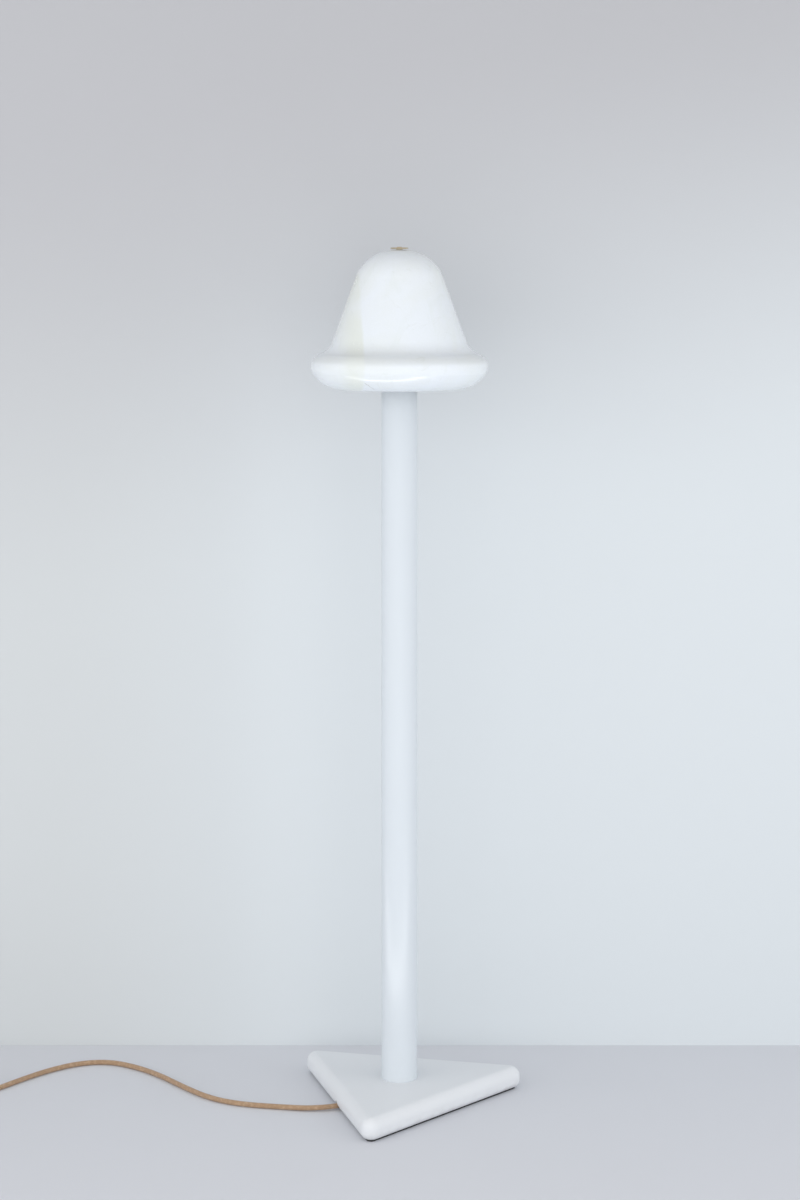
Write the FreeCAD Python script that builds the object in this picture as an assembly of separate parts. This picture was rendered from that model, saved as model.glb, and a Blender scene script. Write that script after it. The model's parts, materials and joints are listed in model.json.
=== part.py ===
import FreeCAD, Part
import math
import os

V = FreeCAD.Vector
os.makedirs("parts", exist_ok=True)

# A floor lamp: a turned stone mushroom shade on a slim round column that stands on a
# heavy rounded triangular plate. Millimetres, +Z up, origin on the column's axis at the
# floor. One vertex of the triangle points along -Y.

# ---- base plate and its pad
plateInradius = 96.0  # axis to each straight side
plateCornerRadius = 14.5
plateThickness = 29.0
plateTopFillet = 14.0
plateBottomFillet = 10.0
padThickness = 2.0
padInset = 11.0
pocketRadius = 32.0
pocketDepth = 19.0

# ---- column, cap and the threaded pipe that clamps them
columnRadius = 25.0
columnWall = 2.0
columnLength = 977.0
spigotHeight = 20.0
capFlange = 3.0
capSpigot = 12.0
capEdgeFillet = 1.0
pipeRadius = 6.0
pipeBore = 4.0
pipeBelowNut = 1.0
pipeIntoHolder = 6.0
pipeClearance = 0.2
washerRadius = 13.0
washerThickness = 2.0
nutAcrossFlats = 19.0
nutHeight = 6.0
spigotClearance = 0.2
holeClearance = 0.1

# ---- lampholder
bracketThickness = 2.0
bracketWidth = 14.0
holderRadius = 20.0
holderWall = 2.0
domeHeight = 15.0
domeShoulder = 7.5
domeNeckWall = 3.0
shellHeight = 36.0
shellLip = 2.0
shellGap = 0.3
insertHeight = 9.0
insertFloor = 2.5
screwShellWall = 0.5
contactThickness = 0.6
contactWidth = 6.0
terminalScrewRadius = 1.8
terminalScrewLength = 4.5
terminalScrewRoom = 0.5
terminalHeadRadius = 2.9
terminalHeadHeight = 1.6
terminalSpacing = 20.0

# ---- bulb
bulbCapRadius = 13.1
bulbCapLength = 24.0
bulbCapFloor = 1.0
bulbCapGap = 0.1
bulbTipRadius = 4.5
bulbTipHeight = 3.0
bulbTipFlare = 2.0
bulbRadius = 30.0
bulbHeight = 78.0
bulbNeckRadius = 12.2
bulbNeckSeat = 2.0  # glass inside the cap
bulbNeckStraight = 4.0
bulbFlareAngle = -30.0
bulbGlassWall = 1.0
bulbFit = 0.35
stemRadius = 3.0
stemLength = 19.9
stemBottom = -2.0  # both from the top of the cap
filamentBottom = 16.0
filamentRadius = 0.9
filamentHeight = 32.0
filamentCircle = 9.0
filamentCount = 4

# ---- harp that carries the shade
harpRadius = 38.0
harpWire = 2.0
postHeight = 14.0
harpLegLength = 99.0
sleeveWall = 1.1
sleeveLength = 16.0
wireGap = 0.05
crownRadius = 8.0
crownUnderWire = 4.0
crownOverWire = 4.0
seatGasketRadius = 14.0
seatGasketThickness = 2.0
studRadius = 2.5
studGap = 0.05
studEndGap = 0.2

# ---- stone shade: a run of arcs from the apex to the lip
shadeWall = 8.0
topArcRadius = 230.0
topArcTurn = 2.5
shoulderRadius = 56.5
wallHeading = 70.0
wallRun = 95.9
neckRadius = 29.0
neckHeading = 19.0
rimRadius = 18.2
rimHeading = 122.0
underRadius = 47.7
lipHeading = 180.0
shadeHoleRadius = 3.2
seatSpotRadius = 16.0
apexLevelling = 0.3

# ---- finial
finialRadius = 12.5
finialThickness = 2.1
finialNeckRadius = 4.6
finialNeckHeight = 0.9
finialNubRadius = 3.6
finialNubHeight = 1.0
finialNubFillet = 0.6
finialEdgeFillet = 0.5
finialRoof = 0.8
finialWasherThickness = 0.4
finialWasherGap = 0.3

# ---- mains cord
cordDiameter = 7.0
coreRadius = 1.2
coreSpread = 1.5
exitAngle = -150.0  # the plate's left side
exitOffset = 17.0
exitInset = 4.5
exitHeight = 5.8
sheathEnd = 30.0
sheathEndHeight = 8.5
grooveHalfWidth = 5.5
grooveAxisHeight = 7.0
grommetLength = 4.0
grommetFloor = 1.0
strapLength = 9.0
strapHalfWidth = 13.7
strapThickness = 1.5
strapPlace = 50.0
strapScrewSpacing = 20.0
strapClearance = 0.2
screwRoom = 1.0
screwRadius = 1.9
screwHeadRadius = 3.5
screwLength = 11.0
earthRingRadius = 4.2
earthRingThickness = 0.8
earthBarrelRadius = 1.8
earthBarrelLength = 7.0
earthTagLap = 0.5
earthAlong = -4.0
earthAcross = 24.0
coreTurnHeight = 6.4
coreStripLength = 4.0
coreDrop = 0.9
coreBend = V(13.0, 8.0, 7.0)
coreBendSpread = 3.2
earthCoreRun = 7.0
earthScrewLength = 5.7
earthHeadHeight = 1.9

# ---- foot switch on the cord
switchLength = 66.0
switchWidth = 31.0
switchSplit = 7.5
switchHeight = 18.0
switchWall = 2.0
switchTopFillet = 4.0
switchBottomFillet = 1.5
switchHeading = -140.0
switchLeadRun = 24.0
coilLeadRun = 28.0
exitRun = 31.0
bendShare = 0.45  # of the shorter run beside a bend
tangentStep = 0.001
buttonRadius = 10.5
buttonProud = 3.0
buttonFlange = 1.5
buttonFlangeHeight = 1.5
buttonFillet = 1.5
buttonGap = 0.3
springRadius = 6.0
springWire = 0.6
springTurns = 5
springEndGap = 0.3
reliefLength = 26.0
reliefRootRadius = 5.4
reliefNeckRadius = 4.7
reliefTipRadius = 4.1
reliefFlangeLength = 1.5
reliefGap = 0.2
bossRadius = 3.2
switchScrewRadius = 1.4
switchScrewSpacing = 44.0
switchScrewHead = 2.6
switchHeadHeight = 1.2
switchHeadDepth = 0.3
switchScrewReach = 5.0
switchScrewRoom = 1.0
contactBladeLength = 12.0
contactBladeWidth = 3.0
contactBladeThickness = 0.8
contactBladePlace = 9.0

# ---- coil of the spare cord and its tie
coilCentre = V(-736.0, -150.0, 0)
coilMiddleRadius = 38.5
coilPitch = 7.7  # one tube and a gap
coilQuarterTurns = 21
coilStartAngle = 180.0
tieThickness = 0.8
tieWidth = 12.0
tieGap = 0.3
tieFillet = 2.0
tieAngle = -60.0

# ---- plug
plugRadius = 18.0
plugLength = 40.0
plugNoseFillet = 2.0
plugTaperLength = 12.0
plugTailRadius = 9.0
plugReliefLength = 30.0
plugReliefTip = 4.4
plugReliefStep = 1.5
pinRadius = 2.4
pinLength = 19.0
pinSpacing = 19.0
pinSeat = 6.0
pinFillet = 1.2
plugSlotWidth = 5.0
plugSlotDepth = 1.6
plugSlotLength = 26.0
clipThickness = 0.8
clipInset = 1.0
clipSetback = 3.0
plugLeadLength = 44.0

# ---- levels that follow from the sizes above
plateBottom = padThickness
plateTop = plateBottom + plateThickness
pocketCeiling = plateBottom + pocketDepth
columnTop = plateTop + columnLength
capTop = columnTop + capFlange
bracketBottom = capTop + washerThickness + nutHeight
bracketTop = bracketBottom + bracketThickness
domeTop = bracketTop + domeHeight
shellTop = domeTop + shellHeight
insertTop = domeTop + insertHeight
tipBottom = insertTop + contactThickness
capBottom = tipBottom + bulbTipHeight
bulbNeck = capBottom + bulbCapLength
postTop = bracketTop + postHeight
archCentre = postTop + harpLegLength
crownTop = archCentre + harpRadius + crownOverWire
seatLevel = crownTop + seatGasketThickness
apexLevel = seatLevel + shadeWall + apexLevelling
shadeTop = apexLevel - apexLevelling
neckLevel = shadeTop + finialWasherThickness
discLevel = neckLevel + finialNeckHeight
finialTop = discLevel + finialThickness + finialNubHeight
cordRadius = cordDiameter / 2
coilLift = tieThickness + tieGap

# ---- the free cord's route on the floor, chosen by hand
leadRoute = [
    (-152.5, -79.0, 3.5),
    (-209.0, -80.5, 3.5),
    (-255.0, -67.5, 3.5),
    (-303.0, -34.0, 3.5),
    (-353.0, 7.0, 3.5),
    (-401.0, 35.0, 3.5),
    (-447.0, 48.0, 3.5),
    (-487.0, 31.0, 3.5),
    (-518.0, -8.0, 3.5),
    (-540.0, -52.0, 3.5),
    (-559.0, -97.0, 3.5),
    (-573.4, -121.0, 3.5),
    (-590.5, -140.6, 7.5),
]
feedRoute = [
    (-744.8, -251.0, 3.5),
    (-769.3, -239.6, 4.6),
    (-785.0, -216.0, 4.6),
]


def save(name, shape):
    shape.exportStep("parts/" + name + ".step")
    solids = len(shape.Solids)
    print(name, "solids", solids, "volume", round(shape.Volume), "valid", shape.isValid())


def cylinder(radius, bottom, top, x=0.0, y=0.0):
    return Part.makeCylinder(radius, top - bottom, V(x, y, bottom))


def ring(outer, inner, bottom, top, x=0.0, y=0.0):
    return cylinder(outer, bottom, top, x, y).cut(cylinder(inner, bottom, top, x, y))


# A round bar between two points
def rod(radius, start, end):
    return Part.makeCylinder(radius, (end - start).Length, start, end - start)


def block(x0, x1, y0, y1, z0, z1):
    return Part.makeBox(x1 - x0, y1 - y0, z1 - z0, V(x0, y0, z0))


# A solid of revolution about Z from a closed outline in the XZ plane
def turned(edges):
    face = Part.Face(Part.Wire(edges))
    return face.revolve(V(0, 0, 0), V(0, 0, 1), 360)


def polygonEdges(points):
    corners = [V(x, 0, z) for x, z in points]
    return Part.makePolygon(corners + [corners[0]]).Edges


def polar(radius, degrees, z=0.0):
    angle = math.radians(degrees)
    return V(radius * math.cos(angle), radius * math.sin(angle), z)


# Turns a shape made along +X so that it faces the plate's cord side
def atExit(shape):
    return shape.copy().rotate(V(0, 0, 0), V(0, 0, 1), exitAngle)


def exitPoint(x, y, z):
    turn = FreeCAD.Rotation(V(0, 0, 1), exitAngle)
    return turn.multVec(V(x, y, z))


# Moves a shape made along +X from the origin to a start point and a heading
def lined(shape, start, heading):
    made = shape.copy().rotate(V(0, 0, 0), V(0, 0, 1), heading)
    made.translate(start)
    return made


# ---- tubes


def tubeAlong(edges, radius):
    path = Part.Wire(edges)
    start = edges[0].valueAt(edges[0].FirstParameter)
    tangent = edges[0].tangentAt(edges[0].FirstParameter)
    section = Part.Wire(Part.makeCircle(radius, start, tangent))
    return path.makePipeShell([section], True, False)


# Straight runs joined by tangent arcs, each as large as its two runs allow
def routeEdges(points):
    edges = []
    radii = []
    cursor = points[0]
    for before, corner, after in zip(points, points[1:], points[2:]):
        inward = (corner - before).normalize()
        outward = (after - corner).normalize()
        half = inward.getAngle(outward) / 2
        shorter = min((corner - before).Length, (after - corner).Length)
        cut = bendShare * shorter
        radius = cut / math.tan(half)
        start = corner - inward * cut
        end = corner + outward * cut
        bisector = (outward - inward).normalize()
        middle = corner + bisector * (radius / math.cos(half) - radius)
        edges.append(Part.LineSegment(cursor, start).toShape())
        edges.append(Part.Arc(start, middle, end).toShape())
        radii.append(radius)
        cursor = end
    edges.append(Part.LineSegment(cursor, points[-1]).toShape())
    return edges, radii


def cordTube(name, points, radius):
    edges, radii = routeEdges(points)
    solid = tubeAlong(edges, radius)
    length = sum(edge.Length for edge in edges)
    expected = math.pi * radius**2 * length
    print(name, "length", round(length, 1), "radii", [round(r) for r in radii])
    print(name, "volume over section times length", round(solid.Volume / expected, 4))
    return solid


def arcFrom(start, tangent, end):
    chord = end - start
    aim = (V(chord).normalize() + tangent).normalize()
    half = tangent.getAngle(chord) / 2
    middle = start + aim * (chord.Length / (2 * math.cos(half)))
    return Part.Arc(start, middle, end).toShape()


# Two tangent arcs between two points with given directions
def biarc(start, startTangent, end, endTangent):
    span = end - start
    both = startTangent + endTangent
    across = span.dot(both)
    spread = 2 * (1 - startTangent.dot(endTangent))
    reach = (math.sqrt(across**2 + spread * span.dot(span)) - across) / spread
    middle = (start + startTangent * reach + end - endTangent * reach) * 0.5
    first = arcFrom(start, startTangent, middle)
    second = arcFrom(middle, (middle - start - startTangent * reach).normalize(), end)
    return [first, second]


# Biarcs of a quarter turn along a curve given as a function of quarter turns
def woundEdges(place, quarters):
    stations = []
    for index in range(quarters + 1):
        low = max(index - tangentStep, 0)
        high = min(index + tangentStep, quarters)
        stations.append((place(index), (place(high) - place(low)).normalize()))
    edges = []
    for (start, startTangent), (end, endTangent) in zip(stations, stations[1:]):
        edges += biarc(start, startTangent, end, endTangent)
    return edges, stations


# The smallest free space between turns, measured on points along the centre line
def leastGap(edges, tubeDiameter, samples=8, arcsApart=6):
    points = []
    for edge in edges:
        span = edge.LastParameter - edge.FirstParameter
        for k in range(samples):
            points.append(edge.valueAt(edge.FirstParameter + span * k / samples))
    least = min(
        (a - b).Length for i, a in enumerate(points) for b in points[i + samples * arcsApart :]
    )
    return least - tubeDiameter


# ---- base


def trianglePrism(inradius, cornerRadius, bottom, top):
    centres = [polar(2 * (inradius - cornerRadius), a, bottom) for a in (-90, 30, 150)]
    outline = Part.makePolygon(centres + [centres[0]]).makeOffset2D(cornerRadius)
    return Part.Face(outline).extrude(V(0, 0, top - bottom))


def levelEdges(shape, level):
    boxes = [(edge, edge.BoundBox) for edge in shape.Edges]
    return [e for e, b in boxes if abs(b.ZMin - level) < 1e-6 and abs(b.ZMax - level) < 1e-6]


def groove():
    cut = block(0, 2 * plateInradius, -grooveHalfWidth, grooveHalfWidth, 0, grooveAxisHeight)
    start = V(0, 0, grooveAxisHeight)
    cut = cut.fuse(rod(grooveHalfWidth, start, start + V(2 * plateInradius, 0, 0)))
    cut.translate(V(0, exitOffset, 0))
    return atExit(cut)


def strapBlock(clearance, bottom, top):
    half = strapLength / 2 + clearance
    wide = strapHalfWidth + clearance
    shape = block(-half, half, -wide, wide, bottom, top)
    shape.translate(V(strapPlace, exitOffset, 0))
    return atExit(shape)


def strapScrewPlaces():
    return [
        exitPoint(strapPlace, exitOffset + side * strapScrewSpacing / 2, 0) for side in (-1, 1)
    ]


def earthPlaceLocal():
    return V(earthAlong, earthAcross, 0)


def earthPlace():
    place = earthPlaceLocal()
    return exitPoint(place.x, place.y, 0)


def basePlate():
    plate = trianglePrism(plateInradius, plateCornerRadius, plateBottom, plateTop)
    plate = plate.makeFillet(plateTopFillet, levelEdges(plate, plateTop))
    plate = plate.makeFillet(plateBottomFillet, levelEdges(plate, plateBottom))
    plate = plate.cut(cylinder(pocketRadius, plateBottom, pocketCeiling))
    plate = plate.cut(cylinder(pipeRadius + pipeClearance, plateBottom, plateTop))
    plate = plate.cut(groove())
    strapRecess = plateBottom + strapClearance + strapThickness + holeClearance
    plate = plate.cut(strapBlock(holeClearance, plateBottom, strapRecess))
    for place in strapScrewPlaces():
        hole = cylinder(
            screwRadius + holeClearance,
            plateBottom,
            plateBottom + strapClearance + screwLength + screwRoom,
            place.x,
            place.y,
        )
        plate = plate.cut(hole)
    earth = earthPlace()
    top = pocketCeiling + earthScrewLength + screwRoom
    return plate.cut(cylinder(screwRadius + holeClearance, plateBottom, top, earth.x, earth.y))


def cordStrap():
    bottom = plateBottom + strapClearance
    strap = strapBlock(0, bottom, bottom + strapThickness)
    for place in strapScrewPlaces():
        sink = Part.makeCone(
            screwHeadRadius + holeClearance,
            screwRadius + holeClearance,
            strapThickness,
            V(place.x, place.y, bottom),
        )
        strap = strap.cut(sink)
    return strap


def strapScrews():
    bottom = plateBottom + strapClearance
    screws = []
    for place in strapScrewPlaces():
        foot = V(place.x, place.y, bottom)
        head = Part.makeCone(screwHeadRadius, screwRadius, strapThickness, foot)
        shank = cylinder(screwRadius, bottom + strapThickness, bottom + screwLength, place.x, place.y)
        screws.append(head.fuse(shank).removeSplitter())
    return Part.makeCompound(screws)


def basePad():
    return trianglePrism(plateInradius - padInset, plateCornerRadius - padInset, 0, padThickness)


# Height of the cord inside the plate at a distance x along its side's normal
def cordAxis(x):
    mouth = plateInradius - exitInset
    slope = (sheathEndHeight - exitHeight) / (mouth - sheathEnd)
    return exitHeight + (mouth - x) * slope


def grommet():
    end = plateInradius - exitInset
    half = grooveHalfWidth - holeClearance
    body = block(end - grommetLength, end, -half, half, grommetFloor, grooveAxisHeight)
    start = V(end - grommetLength, 0, grooveAxisHeight)
    body = body.fuse(rod(half, start, V(end, 0, grooveAxisHeight)))
    bore = rod(
        cordRadius + holeClearance,
        V(sheathEnd, 0, cordAxis(sheathEnd)),
        V(plateInradius, 0, cordAxis(plateInradius)),
    )
    body = body.cut(bore).removeSplitter()
    body.translate(V(0, exitOffset, 0))
    return atExit(body)


def innerLead():
    start = exitPoint(plateInradius - exitInset, exitOffset, exitHeight)
    end = exitPoint(sheathEnd, exitOffset, sheathEndHeight)
    return rod(cordRadius, start, end)


def hexNut(bottom):
    points = [polar(nutAcrossFlats / math.sqrt(3), 60 * k + 30, bottom) for k in range(7)]
    nut = Part.Face(Part.makePolygon(points)).extrude(V(0, 0, nutHeight))
    return nut.cut(cylinder(pipeRadius + holeClearance, bottom, bottom + nutHeight))


def earthTerminal():
    place = earthPlaceLocal()
    top = pocketCeiling
    bore = screwRadius + holeClearance
    tag = ring(earthRingRadius, bore, top - earthRingThickness, top, place.x, place.y)
    start = V(place.x + earthRingRadius - earthTagLap, place.y, top - earthBarrelRadius)
    barrel = rod(earthBarrelRadius, start, start + V(earthBarrelLength, 0, 0))
    return atExit(tag.fuse(barrel).removeSplitter())


def earthScrew():
    place = earthPlace()
    seat = pocketCeiling - earthRingThickness
    head = cylinder(screwHeadRadius, seat - earthHeadHeight, seat, place.x, place.y)
    shank = cylinder(screwRadius, seat, pocketCeiling + earthScrewLength, place.x, place.y)
    return head.fuse(shank).removeSplitter()


def earthBarrelEnd():
    return earthPlaceLocal().x + earthRingRadius - earthTagLap + earthBarrelLength


# Line and neutral up the pipe, earth to its tag under the plate
def leadCores():
    slope = V(sheathEnd, 0, sheathEndHeight) - V(plateInradius - exitInset, 0, exitHeight)
    along = slope.normalize()
    above = V(along.z, 0, -along.x)
    face = V(sheathEnd, exitOffset, sheathEndHeight)
    insertBottom = insertTop - insertHeight + insertFloor
    cores = []
    for side in (-1, 1):
        start = face + V(0, side * coreSpread, 0) - above * coreDrop
        turn = exitPoint(0, side * coreSpread, coreTurnHeight)
        local = [start, start + along * coreStripLength, coreBend + V(0, side * coreBendSpread, 0)]
        points = [exitPoint(p.x, p.y, p.z) for p in local] + [turn]
        points.append(V(turn.x, turn.y, insertBottom))
        cores.append(cordTube("core", points, coreRadius))
    barrelHeight = pocketCeiling - earthBarrelRadius
    start = face + above * coreSpread
    local = [
        start,
        start + along * coreStripLength,
        V(earthBarrelEnd() + earthCoreRun, earthPlaceLocal().y, barrelHeight),
        V(earthBarrelEnd(), earthPlaceLocal().y, barrelHeight),
    ]
    cores.append(cordTube("core", [exitPoint(p.x, p.y, p.z) for p in local], coreRadius))
    return Part.makeCompound(cores)


# ---- column


def columnTube():
    return ring(columnRadius, columnRadius - columnWall, plateTop, columnTop)


def columnSpigot():
    radius = columnRadius - columnWall - spigotClearance
    return ring(radius, pipeRadius + pipeClearance, plateTop, plateTop + spigotHeight)


def columnCap():
    radius = columnRadius - columnWall - spigotClearance
    cap = cylinder(columnRadius, columnTop, capTop)
    cap = cap.makeFillet(capEdgeFillet, levelEdges(cap, capTop))
    cap = cap.fuse(cylinder(radius, columnTop - capSpigot, columnTop)).removeSplitter()
    return cap.cut(cylinder(pipeRadius + pipeClearance, columnTop - capSpigot, capTop))


def tiePipe():
    bottom = pocketCeiling - washerThickness - nutHeight - pipeBelowNut
    return ring(pipeRadius, pipeBore, bottom, bracketTop + pipeIntoHolder)


def tieWasher(bottom):
    return ring(washerRadius, pipeRadius + holeClearance, bottom, bottom + washerThickness)


# ---- lampholder


def harpBracket():
    strap = stadium(2 * harpRadius + bracketWidth, bracketWidth, bracketBottom, bracketTop)
    strap = strap.cut(cylinder(pipeRadius + holeClearance, bracketBottom, bracketTop))
    for side in (-1, 1):
        strap = strap.fuse(cylinder(harpWire, bracketTop, postTop, side * harpRadius))
    return strap.removeSplitter()


def holderDome():
    inner = holderRadius - holderWall
    neck = pipeRadius + domeNeckWall
    outline = [
        (pipeRadius + holeClearance, bracketTop),
        (neck, bracketTop),
        (holderRadius, bracketTop + domeShoulder),
        (holderRadius, domeTop),
        (inner, domeTop),
        (inner, bracketTop + domeShoulder + holderWall),
        (neck, bracketTop + pipeIntoHolder),
        (pipeRadius + holeClearance, bracketTop + pipeIntoHolder),
    ]
    return turned(polygonEdges(outline))


def holderShell():
    shell = ring(holderRadius, holderRadius - holderWall, domeTop, shellTop)
    mouth = bulbCapRadius + bulbFit + screwShellWall + shellGap
    lip = ring(holderRadius, mouth, shellTop, shellTop + shellLip)
    return shell.fuse(lip).removeSplitter()


def terminalPlaces():
    return [V(0, side * terminalSpacing / 2, 0) for side in (-1, 1)]


def holderInsert():
    bottom = insertTop - insertHeight + insertFloor
    insert = cylinder(holderRadius - holderWall - shellGap, bottom, insertTop)
    bore = terminalScrewRadius + holeClearance
    depth = terminalScrewLength + terminalScrewRoom
    for place in terminalPlaces():
        insert = insert.cut(cylinder(bore, bottom, bottom + depth, place.x, place.y))
    return insert


def screwShell():
    inner = bulbCapRadius + bulbFit
    return ring(inner + screwShellWall, inner, insertTop, shellTop)


def centreContact():
    half = contactWidth / 2
    return block(-half, half, -half, half, insertTop, insertTop + contactThickness)


def terminalScrews():
    bottom = insertTop - insertHeight + insertFloor
    screws = []
    for place in terminalPlaces():
        top = bottom + terminalScrewLength
        shank = cylinder(terminalScrewRadius, bottom, top, place.x, place.y)
        head = cylinder(terminalHeadRadius, bottom - terminalHeadHeight, bottom, place.x, place.y)
        screws.append(shank.fuse(head).removeSplitter())
    return Part.makeCompound(screws)


# ---- bulb


# A pear-shaped bulb blown from one outline: neck, flare arc and round top
def bulbGlass():
    ballCentre = bulbNeck + bulbHeight - bulbRadius
    outer = bulbOutline(bulbNeckRadius, bulbRadius, ballCentre)
    inner = bulbOutline(bulbNeckRadius - bulbGlassWall, bulbRadius - bulbGlassWall, ballCentre)
    bottom = bulbNeck - bulbNeckSeat
    neckOut = V(bulbNeckRadius, 0, bottom)
    neckIn = V(bulbNeckRadius - bulbGlassWall, 0, bottom)
    edges = [Part.LineSegment(neckIn, neckOut).toShape()]
    edges += outer
    topOut = outer[-1].Vertexes[-1].Point
    topIn = inner[-1].Vertexes[-1].Point
    edges.append(Part.LineSegment(topOut, topIn).toShape())
    edges += inner
    return turned(Part.__sortEdges__(edges))


def bulbOutline(neck, ball, centre):
    bottom = bulbNeck - bulbNeckSeat
    flareStart = V(neck, 0, bulbNeck + bulbNeckStraight)
    angle = math.radians(bulbFlareAngle)
    flareEnd = V(ball * math.cos(angle), 0, centre + ball * math.sin(angle))
    tangent = V(-math.sin(angle), 0, math.cos(angle))
    flare = biarc(flareStart, V(0, 0, 1), flareEnd, tangent)
    middle = math.radians(-bulbFlareAngle)
    side = V(ball * math.cos(middle), 0, centre + ball * math.sin(middle))
    top = V(0, 0, centre + ball)
    neckLine = Part.LineSegment(V(neck, 0, bottom), flareStart).toShape()
    return [neckLine] + flare + [Part.Arc(flareEnd, side, top).toShape()]


def bulbCap():
    inner = bulbNeckRadius + bulbCapGap
    cap = ring(bulbCapRadius, inner, capBottom, bulbNeck)
    floor = ring(bulbCapRadius, bulbTipRadius + bulbTipFlare, capBottom - bulbCapFloor, capBottom)
    return cap.fuse(floor).removeSplitter()


def bulbTip():
    wide = bulbTipRadius + bulbTipFlare
    cone = Part.makeCone(bulbTipRadius, wide, bulbTipHeight - bulbCapFloor, V(0, 0, tipBottom))
    stub = cylinder(wide - bulbCapGap, capBottom - bulbCapFloor, capBottom)
    return cone.fuse(stub).removeSplitter()


def bulbFilaments():
    bottom = bulbNeck + stemBottom
    low = bulbNeck + filamentBottom
    stem = cylinder(stemRadius, bottom, bottom + stemLength)
    wires = []
    for k in range(filamentCount):
        place = polar(filamentCircle, 90 * k + 45)
        wires.append(cylinder(filamentRadius, low, low + filamentHeight, place.x, place.y))
    return Part.makeCompound([stem] + wires)


# ---- harp


def harpEdges():
    left = V(-harpRadius, 0, archCentre)
    top = V(0, 0, archCentre + harpRadius)
    right = V(harpRadius, 0, archCentre)
    return [
        Part.LineSegment(V(-harpRadius, 0, postTop), left).toShape(),
        Part.Arc(left, top, right).toShape(),
        Part.LineSegment(right, V(harpRadius, 0, postTop)).toShape(),
    ]


def harpWireSolid(radius):
    return tubeAlong(harpEdges(), radius)


def harpSleeves():
    inner = harpWire + wireGap
    bottom = postTop - sleeveLength / 2
    return Part.makeCompound(
        [
            ring(inner + sleeveWall, inner, bottom, bottom + sleeveLength, side * harpRadius)
            for side in (-1, 1)
        ]
    )


def harpCrown():
    wireTop = archCentre + harpRadius
    crown = cylinder(crownRadius, wireTop - crownUnderWire, crownTop)
    return crown.cut(harpWireSolid(harpWire + wireGap))


def shadeStud():
    return cylinder(studRadius, crownTop, finialTop - finialRoof - studEndGap)


# ---- shade


# The shade's outline as tangent arcs, moved inwards by an offset
def shadeRun(offset):
    steps = [
        (topArcRadius, topArcTurn),
        (shoulderRadius, wallHeading),
        (0, wallRun),
        (-neckRadius, neckHeading),
        (rimRadius, rimHeading),
        (underRadius, lipHeading),
    ]
    edges = []
    position = V(0, 0, apexLevel - offset)
    heading = 0.0
    for radius, target in steps:
        forward = polar(1, -heading)
        if radius == 0:
            end = position + V(forward.x, 0, forward.y) * target
            edges.append(Part.LineSegment(position, end).toShape())
            position = end
            continue
        bend = radius - offset
        down = polar(1, -heading - 90)
        centre = position + V(down.x, 0, down.y) * bend
        angles = [heading + (target - heading) * share for share in (0.5, 1.0)]
        spokes = [polar(1, 90 - angle) for angle in angles]
        middle, end = [centre + V(s.x, 0, s.y) * bend for s in spokes]
        edges.append(Part.Arc(position, middle, end).toShape())
        position = end
        heading = target
    return edges, position


def stoneShade():
    outer, outerEnd = shadeRun(0.0)
    inner, innerEnd = shadeRun(shadeWall)
    lipTip = V(outerEnd.x - shadeWall / 2, 0, outerEnd.z + shadeWall / 2)
    lip = Part.Arc(outerEnd, lipTip, innerEnd).toShape()
    apex = Part.LineSegment(V(0, 0, apexLevel - shadeWall), V(0, 0, apexLevel)).toShape()
    shade = turned(Part.__sortEdges__(outer + [lip] + inner + [apex]))
    spotBottom = seatLevel - 2 * shadeWall
    shade = shade.cut(cylinder(seatSpotRadius, spotBottom, seatLevel))
    shade = shade.cut(cylinder(seatSpotRadius, shadeTop, apexLevel + 1))
    return shade.cut(cylinder(shadeHoleRadius, spotBottom, apexLevel + 1))


def seatGasket():
    return ring(seatGasketRadius, shadeHoleRadius, crownTop, seatLevel)


def finialWasher():
    return ring(finialNeckRadius, studRadius + finialWasherGap, shadeTop, neckLevel)


def finial():
    disc = cylinder(finialRadius, discLevel, discLevel + finialThickness)
    rims = levelEdges(disc, discLevel) + levelEdges(disc, discLevel + finialThickness)
    disc = disc.makeFillet(finialEdgeFillet, rims)
    nub = cylinder(finialNubRadius, discLevel + finialThickness, finialTop)
    nub = nub.makeFillet(finialNubFillet, levelEdges(nub, finialTop))
    neck = cylinder(finialNeckRadius, neckLevel, discLevel)
    body = disc.fuse([nub, neck]).removeSplitter()
    return body.cut(cylinder(studRadius + studGap, neckLevel, finialTop - finialRoof))


# ---- foot switch, made along +X with its tail at the origin


def stadium(length, width, bottom, top):
    half = width / 2
    straight = length / 2 - half
    middle = block(-straight, straight, -half, half, bottom, top)
    ends = [cylinder(half, bottom, top, side * straight) for side in (-1, 1)]
    return middle.fuse(ends).removeSplitter()


def switchBosses(bottom, top):
    return [cylinder(bossRadius, bottom, top, s * switchScrewSpacing / 2) for s in (-1, 1)]


def switchBores(radius, bottom, top):
    return [cylinder(radius, bottom, top, s * switchScrewSpacing / 2) for s in (-1, 1)]


def cordNotch(radius):
    return rod(radius, V(-switchLength, 0, switchSplit), V(switchLength, 0, switchSplit))


def switchInside(bottom, top):
    return stadium(switchLength - 2 * switchWall, switchWidth - 2 * switchWall, bottom, top)


def switchBase():
    body = stadium(switchLength, switchWidth, 0, switchSplit)
    body = body.makeFillet(switchBottomFillet, levelEdges(body, 0))
    body = body.cut(switchInside(switchWall, switchSplit))
    body = body.fuse(switchBosses(switchWall, switchSplit))
    body = body.cut(switchBores(switchScrewRadius + holeClearance, 0, switchSplit))
    heads = switchBores(switchScrewHead + holeClearance, 0, switchHeadDepth + switchHeadHeight)
    body = body.cut(heads)
    return body.cut(cordNotch(reliefNeckRadius + holeClearance)).removeSplitter()


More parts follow.
